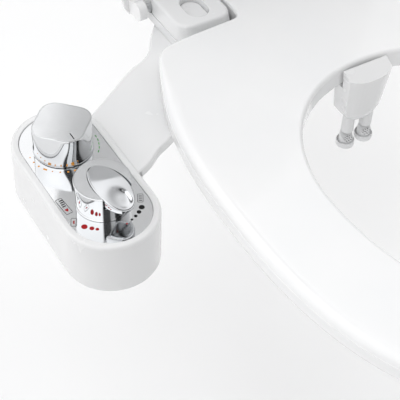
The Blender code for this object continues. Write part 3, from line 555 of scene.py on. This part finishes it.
def front_knob():
    """A turned mirror body with a satin top, cut away for its spoon lever."""
    profile = [(0, KNOB_LOW), (20.2, KNOB_LOW), (20.6, KNOB_LOW + 0.3), (20.6, KNOB_LOW + 1.1),
               (20.15, KNOB_LOW + 1.5)]
    for i in range(1, 11):
        t = i / 10
        profile.append((20.15 + 1.1 * t ** 1.5, KNOB_LOW + 1.5 + 21.3 * t))
    profile += [(21.3, 33.4), (21.22, 33.72), (20.95, 33.93), (20.6, 34.0), (0, 34.0)]
    knob = turned("front_knob_fine", profile, (HOUSING_X, FRONT_KNOB_Y, 0), 160)
    pocket_outline = [(x - 0.45, y) for x, y in egg(0.55)]
    pocket = loft("lever_pocket", [at(pocket_outline, -1.5), at(pocket_outline, 24)], place=LEVER_PLACE)
    bore = turned("knob_bore", [(0, 5), (4.3, 5), (4.3, 18.9), (0, 18.9)],
                  (HOUSING_X, FRONT_KNOB_Y, 0), 48)
    shape(knob, [], [pocket, bore], 28)
    piece(knob, "front_knob", "chrome", CHROME, "front_knob")
    satin = turned("front_knob_top", [(0, 33.98), (20.2, 33.98), (20.2, 34.02), (0, 34.02)],
                   (HOUSING_X, FRONT_KNOB_Y, 0), 160)
    wide = loft("lever_clear", [at(egg(0.4), -3.3), at(egg(0.4), 24)], place=LEVER_PLACE)
    shape(satin, [], [wide], 28)
    piece(satin, "front_knob", "chrome", SATIN)
    # The lever takes the darker copy of the chrome, painted shade on its reflection.
    piece(lever(), "front_knob", "chrome", SHADED_LEVER_CHROME, "front_lever")


# ---------------------------------------------------------------- seat and lid

SEAT_CENTRE_Y = -250
SEAT_TOP = 28
HINGE_AXIS = (0, 16, 19.5)
PIN_HOLE = 4.3
LID_OPEN_DEGREES = 102


def seat_outline():
    """The seat's outline, counter-clockwise from its front middle."""
    front = superellipse(185, -245, 235, 2.45, 270, 360, 44)
    front[0] = (0.0, front[0][1])
    side = smooth([(185, -245), (184, -205), (181, -170), (175.5, -138), (167, -108), (156, -80),
                   (147, -61), (141, -51), (133, -45), (122, -42.5)], 6)[1:]
    notch = [(112, -41.7), (104, -41), (95, -40.5), (86, -40.1), (76, -39.6), (68, -39.2), (64, -38.9),
             (61.3, -38.1), (59.3, -36.6), (58.0, -34.4), (57.3, -31), (57, -26), (57, -18), (57, -10),
             (57, -2), (57, 4), (57, 9.5), (56.5, 12.4), (55.2, 14.6), (53.2, 15.7), (50.6, 16)]
    rear = [(44, 16), (33, 16), (22, 16), (11, 16), (0, 16)]
    half = front + side + notch + rear
    left = [(-x, y) for x, y in reversed(half) if x > 0.00001]
    return half + left


def opening_radius(angle):
    """How far the opening reaches from the seat's centre at a polar angle."""
    low, high = 60.0, 220.0
    for _ in range(40):
        middle = (low + high) / 2
        x = middle * math.cos(angle)
        y = SEAT_CENTRE_Y + middle * math.sin(angle) + 260
        run = 124 if y > 0 else 160
        inside = abs(x / 112.5) ** 2.1 + abs(y / run) ** 2.1 < 1
        low, high = (middle, high) if inside else (low, middle)
    return low


def outward(x, y, distance):
    """A point of the opening's edge moved away from the seat's centre."""
    grow = 1 + distance / math.hypot(x, y - SEAT_CENTRE_Y)
    return x * grow, SEAT_CENTRE_Y + (y - SEAT_CENTRE_Y) * grow


def blend_between(a, b, t):
    """From a to b as t goes from 0 to 1, easing in and out."""
    t = min(1.0, max(0.0, t))
    t = t * t * (3 - 2 * t)
    return a + (b - a) * t


def seat_ring():
    """The seat: a rounded shoulder, a crowned top and a flat underside."""
    outer = seat_outline()
    angles = [math.atan2(y - SEAT_CENTRE_Y, x) for x, y in outer]
    reaches = [opening_radius(a) for a in angles]
    inner = [(reach * math.cos(a), SEAT_CENTRE_Y + reach * math.sin(a))
             for reach, a in zip(reaches, angles)]
    count = len(outer)
    at_side = [blend_between(1.0, 0.0, (y + 110) / 55) for x, y in outer]
    at_tab = [blend_between(0.0, 1.0, (y + 34) / 24) for x, y in outer]
    shoulder = [3.2 + 8.3 * side - 1.4 * tab for side, tab in zip(at_side, at_tab)]
    drop = [2.6 + 4.4 * side - 1.0 * tab for side, tab in zip(at_side, at_tab)]
    rings = []

    def ring(steps_in, heights):
        moved = inset(outer, steps_in)
        rings.append([(x, y, z) for (x, y), z in zip(moved, heights)])

    ring([2.2] * count, [10.0] * count)
    ring([0.9] * count, [10.35] * count)
    ring([0.25] * count, [11.1] * count)
    ring([0.0] * count, [12.4] * count)
    ring([0.0] * count, [SEAT_TOP - d - 0.3 for d in drop])
    for i in range(9):
        angle = math.pi / 2 * i / 8
        ring([0.35 + s * (1 - math.cos(angle)) for s in shoulder],
             [SEAT_TOP - d * (1 - math.sin(angle)) for d in drop])
    top_start = inset(outer, [0.35 + s for s in shoulder])
    inner_top = [outward(x, y, 4.0) for x, y in inner]
    for i in range(1, 11):
        t = i / 10
        rings.append([(a + (c - a) * t, b + (d - b) * t, SEAT_TOP - 1.2 * t * t * side)
                      for (a, b), (c, d), side in zip(top_start, inner_top, at_side)])
    for i in range(1, 8):
        angle = math.pi / 2 * i / 7
        back, fall = 4.0 * (1 - math.sin(angle)), 3.6 * (1 - math.cos(angle))
        row = []
        for (x, y), side in zip(inner, at_side):
            row.append((*outward(x, y, back), SEAT_TOP - 1.2 * side - fall))
        rings.append(row)
    rings.append([(x, y, 12.2) for x, y in inner])
    for grow, z in ((0.4, 10.9), (1.2, 10.2), (2.4, 10.0)):
        rings.append([(x * (1 + grow / 150), SEAT_CENTRE_Y + (y - SEAT_CENTRE_Y) * (1 + grow / 150), z)
                      for x, y in inner])
    seat = loft("seat_ring_fine", rings, loop=True, sharp=50)
    knuckle = [(0, -57), (7.6, -57), (8.2, -56.7), (8.5, -56), (8.5, 56), (8.2, 56.7), (7.6, 57), (0, 57)]
    tab_end = turned("tab_end", knuckle, HINGE_AXIS, 48, "X")
    bores = [turned("seat_bore", [(0, a), (PIN_HOLE, a), (PIN_HOLE, b), (0, b)], HINGE_AXIS, 32, "X")
             for a, b in ((39, 60), (-60, -39))]
    shape(seat, [tab_end], bores, 40)
    piece(seat, "seat", "seat_white", SEAT_WHITE, "seat_ring")


def lid_outline():
    """The lid's outline, a little larger than the seat's."""
    front = superellipse(187.5, -245, 237.5, 2.45, 270, 360, 36)
    front[0] = (0.0, front[0][1])
    side = smooth([(187.5, -245), (186.5, -205), (183.5, -170), (178, -138), (170, -108), (160, -80),
                   (151, -58), (142, -34), (134, -4), (131, 16), (127, 23)], 4)[1:]
    half = front + side
    return half + [(-x, y) for x, y in reversed(half) if x > 0.00001]


def lid_panel():
    """The lid: a crowned panel with a rolled edge and two hinge ears, drawn shut and turned open."""
    outline = lid_outline()
    rings = [at(inset(outline, 1.2), 31.8), at(inset(outline, 0.3), 32.1), at(outline, 32.9)]
    rings += rim(outline, 36.4, 2.6, 6)
    for i in range(1, 9):
        shrink = 1 - i / 9
        rings.append([(x * shrink, -225 + (y + 225) * shrink, 36.4 + 0.4 * math.sin(math.pi / 2 * i / 9))
                      for x, y in inset(outline, 2.6)])
    opened = (Matrix.Translation(Vector(HINGE_AXIS) * MM)
              @ Matrix.Rotation(math.radians(-LID_OPEN_DEGREES), 4, "X")
              @ Matrix.Translation(Vector(HINGE_AXIS) * -MM))
    panel = loft("lid_panel_fine", rings, place=opened, sharp=50)
    ears, bores = [], []
    for side in (-1, 1):
        start, end = sorted((side * 119, side * 127))
        profile = [(0, start), (8.1, start), (8.5, start + 0.4), (8.5, end - 0.4), (8.1, end), (0, end)]
        ear = turned("ear", profile, HINGE_AXIS, 48, "X", opened)
        foot = rounded_box(start, end, 9.5, 22.5, 1.2, 3)
        neck = loft("neck", [at(foot, 19.5), at(foot, 33.4)], place=opened)
        ears += [ear, neck]
        a, b = sorted((side * 110, side * 125.4))
        bores.append(turned("lid_bore", [(0, a), (PIN_HOLE, a), (PIN_HOLE, b), (0, b)],
                            HINGE_AXIS, 32, "X", opened))
    shape(panel, ears, bores, 40)
    piece(panel, "lid", "seat_white", SEAT_WHITE, "lid_panel")


# ---------------------------------------------------------------- hinges

def hinge_block(side, name):
    """The hinge cap with sloped sides, a button well and its button."""
    x = side * 88

    def ring(grow, front, rear, z, radius):
        left, right = (x - 26, x + 28.6) if side < 0 else (x - 28.6, x + 26)
        return at(rounded_box(left + grow, right - grow, -39 + front, 25 - rear, radius, 10), z)

    rings = [ring(0.4, 1.0, 0, 16.5, 12), ring(0.9, 1.5, 0.1, 20, 12), ring(1.5, 2.3, 0.4, 24, 12),
             ring(2.0, 3.0, 1.1, 27.4, 12), ring(2.3, 3.3, 2.1, 28.4, 11.8),
             ring(2.8, 3.9, 3.0, 29.2, 11.4), ring(3.6, 4.7, 4.0, 29.75, 11),
             ring(4.6, 5.7, 5.2, 29.97, 10.4), ring(5.6, 6.7, 6.4, 30.0, 9.6)]
    cap = loft(name + "_hinge_cap_fine", rings, sharp=50)
    button_x, button_y = side * 86, -12
    well = stadium(button_x, button_y, 5, 9.9, 20)
    well_rings = [at(well, 15), at(well, 29.2)]
    well_rings += [at(inset(well, -grow), z) for grow, z in ((0.25, 29.6), (0.7, 29.9), (1.3, 30.1))]
    slot = [(0, x - 40), (PIN_HOLE, x - 40), (PIN_HOLE, x + 40), (0, x + 40)]
    cutters = [loft("well", well_rings),
               loft("cap_room", [at(rounded_box(x - 19.5, x + 19.5, 8, 23, 1, 3), z) for z in (10, 26.5)]),
               turned("pin_slot", slot, HINGE_AXIS, 32, "X"),
               loft("slot_foot", [at(rounded_box(x - 40, x + 40, 11.7, 20.3, 0.5, 2), z)
                                  for z in (10, 19.5)])]
    shape(cap, [], cutters, 38)
    piece(cap, "root", "white_gloss", WHITE, name + "_hinge_cap")
    outline = stadium(button_x, button_y, 5, 9.6, 20)
    rings = [at(outline, 19.4)] + rim(outline, 24.0, 1.0, 4)
    for i in range(1, 7):
        rings.append(at(inset(outline, 1.0 + 1.3 * i), 24.0 - 0.9 * math.sin(math.pi / 2 * i / 6)))
    button = loft(name + "_release_button_fine", rings, sharp=50)
    piece(button, name + "_button", "white_gloss", WHITE, name + "_release_button")


# ---------------------------------------------------------------- nozzle unit

NOZZLE_X, NOZZLE_Y = 9.5, -141.5


def guard_ring(half_width, rear, front, z, bow, corner=5.0, steps=10):
    """A shroud section with a flat rear and a bowed front, counter-clockwise."""
    points = [(half_width, rear), (half_width * 0.4, rear), (-half_width * 0.4, rear), (-half_width, rear),
              (-half_width, (rear + front + bow) / 2), (-half_width, front + bow)]
    front_points = []
    for i in range(1, steps):
        t = -1 + 2 * i / steps
        full = (1 - abs(t) ** 2.6)
        front_points.append((half_width * t, front + bow * (1 - full)))
    points += front_points + [(half_width, front + bow), (half_width, (rear + front + bow) / 2)]
    dense = []
    for (ax, ay), (bx, by) in zip(points, points[1:] + points[:1]):
        for i in range(3):
            dense.append((ax + (bx - ax) * i / 3, ay + (by - ay) * i / 3))
    return at(dense, z)


def shroud_ring(z, rear):
    """A section of the shroud, which widens steadily from its waist to its brow."""
    rise = z + 12
    return guard_ring(18.1 + 0.088 * rise, rear, -151.6 - 0.104 * rise, z, 5.0 + 0.02 * rise)


def nozzle_guard():
    """The shroud: a bowed front, chamfered shoulders and a raised brow with a sloping oval face."""
    rear, front = -128.8, -155
    rings = [guard_ring(11.8, rear - 3, front + 8, -27, 3.5),
             guard_ring(12.6, rear - 2.8, front + 7.2, -26.6, 3.6),
             guard_ring(16.7, rear, front + 4.9, -20.8, 4.6),
             guard_ring(17.3, rear, front + 4.4, -19.4, 4.8)]
    rings += [shroud_ring(z, rear) for z in (-12, -6, 0, 6, 12, 18, 24, 30)]
    guard = loft("nozzle_guard_fine", rings, sharp=42)
    tilt = Matrix.Translation(Vector((0, front, 19.2)) * MM) @ Matrix.Rotation(math.radians(24), 4, "X")
    slope = loft("crest_slope", [at(rounded_box(-40, 40, -20, 40, 2, 2), z) for z in (0, 30)], place=tilt)
    step = loft("rear_step", [at(rounded_box(-40, 40, -139.5, -100, 2, 2), z) for z in (8, 40)])
    room = loft("guard_room", [at(rounded_box(-16.2, 16.2, -147.6, -130.8, 4, 5), -18.5),
                               at(rounded_box(-16.8, 16.8, -149.4, -130.8, 4, 5), 6.2)])
    slot = loft("rear_slot", [at(rounded_box(-14, 14, -134, -120, 1, 2), z) for z in (1.2, 5.9)])
    hole = [(0, -40), (5.6, -40), (5.6, -10), (0, -10)]
    holes = [turned("nozzle_hole", hole, (side * NOZZLE_X, NOZZLE_Y, 0), 40) for side in (-1, 1)]
    shape(guard, [], [slope, step, room, slot] + holes, 30)
    edge = guard.modifiers.new("soft_edges", "BEVEL")
    edge.width = 0.5 * MM
    edge.segments = 3
    edge.limit_method = "ANGLE"
    edge.angle_limit = math.radians(28)
    piece(guard, "root", "white_gloss", WHITE, "nozzle_guard")


def nozzle(side, name, body):
    """A nozzle stem whose slanted, pierced tip stands in a small cup."""
    x, y = side * NOZZLE_X, NOZZLE_Y
    stem_profile = [(1.8, -14), (6.0, -14), (6.3, -14.3), (6.3, -15.3), (6.0, -15.6), (5.3, -15.6),
                    (5.3, -40.6), (5.1, -41.2), (4.7, -41.5), (1.8, -41.5), (1.8, -14)]
    stem = turned(name + "_stem_fine", stem_profile, (x, y, 0), 64)
    piece(stem, body, "white_matte", MATTE, name + "_stem")
    cup_profile = [(0, -52.8), (6.6, -52.8), (6.8, -52.6), (6.9, -52.2), (7.1, -51.7), (7.4, -51.5),
                   (7.7, -51.7), (7.9, -52.6), (7.9, -55.6), (7.5, -56.8), (6.4, -57.7), (5.2, -58),
                   (0, -58)]
    cup = turned(name + "_head_fine", cup_profile, (x, y, 0), 64)
    tip_profile = [(0, -41.8), (4.7, -41.8), (5.3, -42.3), (5.9, -48), (6.2, -55), (0, -55)]
    tip = turned("tip", tip_profile, (x, y, 0), 64)
    slant = (Matrix.Translation(Vector((x, y - 6.2, -50.9)) * MM)
             @ Matrix.Rotation(math.radians(42), 4, "X"))
    slope = loft("tip_slope", [at(rounded_box(-9, 9, -6, 11.6, 1, 2), z) for z in (0, 12)], place=slant)
    holes = []
    for row, count in enumerate((3, 4, 3)):
        for column in range(count):
            offset = (column - (count - 1) / 2) * 2.3
            holes.append(turned("spray_hole", [(0, -3.4), (0.58, -3.4), (0.58, 3), (0, 3)],
                                (offset, 1.7 + row * 1.75, 0), 16, "Z", slant))
    shape(tip, [], [slope] + holes, 38)
    shape(cup, [tip], [], 38)
    piece(cup, body, "white_matte", MATTE, name + "_head")


# ---------------------------------------------------------------- carried-over nodes

def paint_nodes():
    """Give every CAD node the finish of its material slot."""
    for part in frame["record"]["subparts"]:
        thing = NODES[part["node"]]
        look = SLOTS[part["material_slot"]]
        for index in range(len(thing.data.materials)):
            thing.data.materials[index] = look
        if not thing.data.materials:
            thing.data.materials.append(look)


# ---------------------------------------------------------------- light and camera

# Grey levels round the sky. 0 and 1 are straight behind the subject as the photograph sees it,
# 0.5 is above the camera and 0.75 is to the camera's right.
SKY_TURN = 122.6
SKY_BANDS = [(0.0, 0.86), (0.05, 0.82), (0.065, 0.05), (0.09, 0.05), (0.11, 1.0), (0.50, 1.0),
             (0.515, 0.04), (0.59, 0.05), (0.605, 0.34), (0.645, 0.40), (0.66, 0.02), (0.715, 0.02),
             (0.74, 0.26), (0.86, 0.46), (0.94, 0.70), (1.0, 0.86)]
# How bright the sky is at the horizon and straight up, and the lamps' power in watts.
SKY_LOW, SKY_HIGH = 0.62, 1.68
KEY_POWER, FILL_POWER, REAR_POWER = 12, 12, 9

FLOOR_Z = -0.40
FLOOR_REACH = 9

# The camera that was fitted to the housing: degrees of azimuth, elevation and roll, and metres.
CAMERA_ANGLES = (-32.6, 46.3, 2.6)
CAMERA_PLACE = (-0.5007, -0.6835, 0.6188)
CAMERA_LENS = 103.4


def studio():
    """A pale floor, a bright even sky with a few dark bands for the mirrors, and soft lamps."""
    bm = bmesh.new()
    corners = ((-1, -1), (1, -1), (1, 1), (-1, 1))
    bm.faces.new([bm.verts.new((x * FLOOR_REACH, y * FLOOR_REACH, FLOOR_Z)) for x, y in corners])
    floor = finish_mesh("floor", bm)
    look = Look("floor_paper", 0.9)
    paper = [(0.3, (0.93, 0.93, 0.93)), (0.7, (0.94, 0.94, 0.94))]
    look.feed("Base Color", look.ramp(look.noise(3, 2), paper))
    floor.data.materials.append(look.material)

    world = bpy.data.worlds.new("studio")
    bpy.context.scene.world = world
    world.use_nodes = True
    tree = world.node_tree
    coords = tree.nodes.new("ShaderNodeTexCoord")
    turn = tree.nodes.new("ShaderNodeMapping")
    turn.vector_type = "POINT"
    turn.inputs["Rotation"].default_value = (0, 0, math.radians(SKY_TURN))
    tree.links.new(coords.outputs["Generated"], turn.inputs["Vector"])
    gradient = tree.nodes.new("ShaderNodeTexGradient")
    gradient.gradient_type = "RADIAL"
    tree.links.new(turn.outputs["Vector"], gradient.inputs["Vector"])
    ramp = tree.nodes.new("ShaderNodeValToRGB")
    elements = ramp.color_ramp.elements
    while len(elements) < len(SKY_BANDS):
        elements.new(0.5)
    for element, (where, grey) in zip(elements, SKY_BANDS):
        element.position = where
        element.color = (grey, grey, grey * 1.005, 1.0)
    tree.links.new(gradient.outputs["Fac"], ramp.inputs["Fac"])
    height = tree.nodes.new("ShaderNodeSeparateXYZ")
    tree.links.new(coords.outputs["Generated"], height.inputs["Vector"])
    lift = tree.nodes.new("ShaderNodeMapRange")
    lift.inputs["To Min"].default_value = SKY_LOW
    lift.inputs["To Max"].default_value = SKY_HIGH
    tree.links.new(height.outputs["Z"], lift.inputs["Value"])
    background = tree.nodes["Background"]
    tree.links.new(lift.outputs["Result"], background.inputs["Strength"])
    tree.links.new(ramp.outputs["Color"], background.inputs["Color"])

    lamp("key_lamp", (-1.0, -1.2, 2.4), 1.6, KEY_POWER)
    lamp("fill_lamp", (1.6, -0.6, 1.8), 2.0, FILL_POWER)
    lamp("rear_lamp", (-1.7, 1.6, 2.0), 1.8, REAR_POWER)


def lamp(name, place, size, power):
    """A round soft lamp aimed between the housing and the nozzles, and not mirrored."""
    data = bpy.data.lights.new(name, "AREA")
    data.shape = "DISK"
    data.size = size
    data.energy = power
    thing = bpy.data.objects.new(name, data)
    bpy.context.scene.collection.objects.link(thing)
    thing.location = place
    aim = Vector((-0.1, -0.15, 0)) - Vector(place)
    thing.rotation_euler = aim.to_track_quat("-Z", "Y").to_euler()
    thing.visible_glossy = False


def camera():
    """The camera at the photograph's angle, looking down from the front left."""
    azimuth, elevation, roll = (math.radians(a) for a in CAMERA_ANGLES)
    back = Vector((math.sin(azimuth) * math.cos(elevation), -math.cos(azimuth) * math.cos(elevation),
                   math.sin(elevation)))
    right = Vector((0, 0, 1)).cross(back).normalized()
    up = back.cross(right)
    x_axis = right * math.cos(roll) + up * math.sin(roll)
    y_axis = up * math.cos(roll) - right * math.sin(roll)
    data = bpy.data.cameras.new("camera")
    data.lens = CAMERA_LENS
    data.sensor_width = 36
    data.clip_start = 0.01
    data.clip_end = 50
    thing = bpy.data.objects.new("camera", data)
    bpy.context.scene.collection.objects.link(thing)
    turn = Matrix((x_axis, y_axis, back)).transposed().to_4x4()
    thing.matrix_world = Matrix.Translation(CAMERA_PLACE) @ turn
    bpy.context.scene.camera = thing


camera()
studio()
paint_nodes()
control_shell()
face_plate()
face_marks()
rear_knob()
front_knob()
seat_ring()
lid_panel()
hinge_block(-1, "left")
hinge_block(1, "right")
nozzle_guard()
nozzle(1, "rear_wash", "rear_nozzle")
nozzle(-1, "front_wash", "front_nozzle")
bpy.context.scene.view_settings.view_transform = "Standard"
bpy.context.view_layer.update()
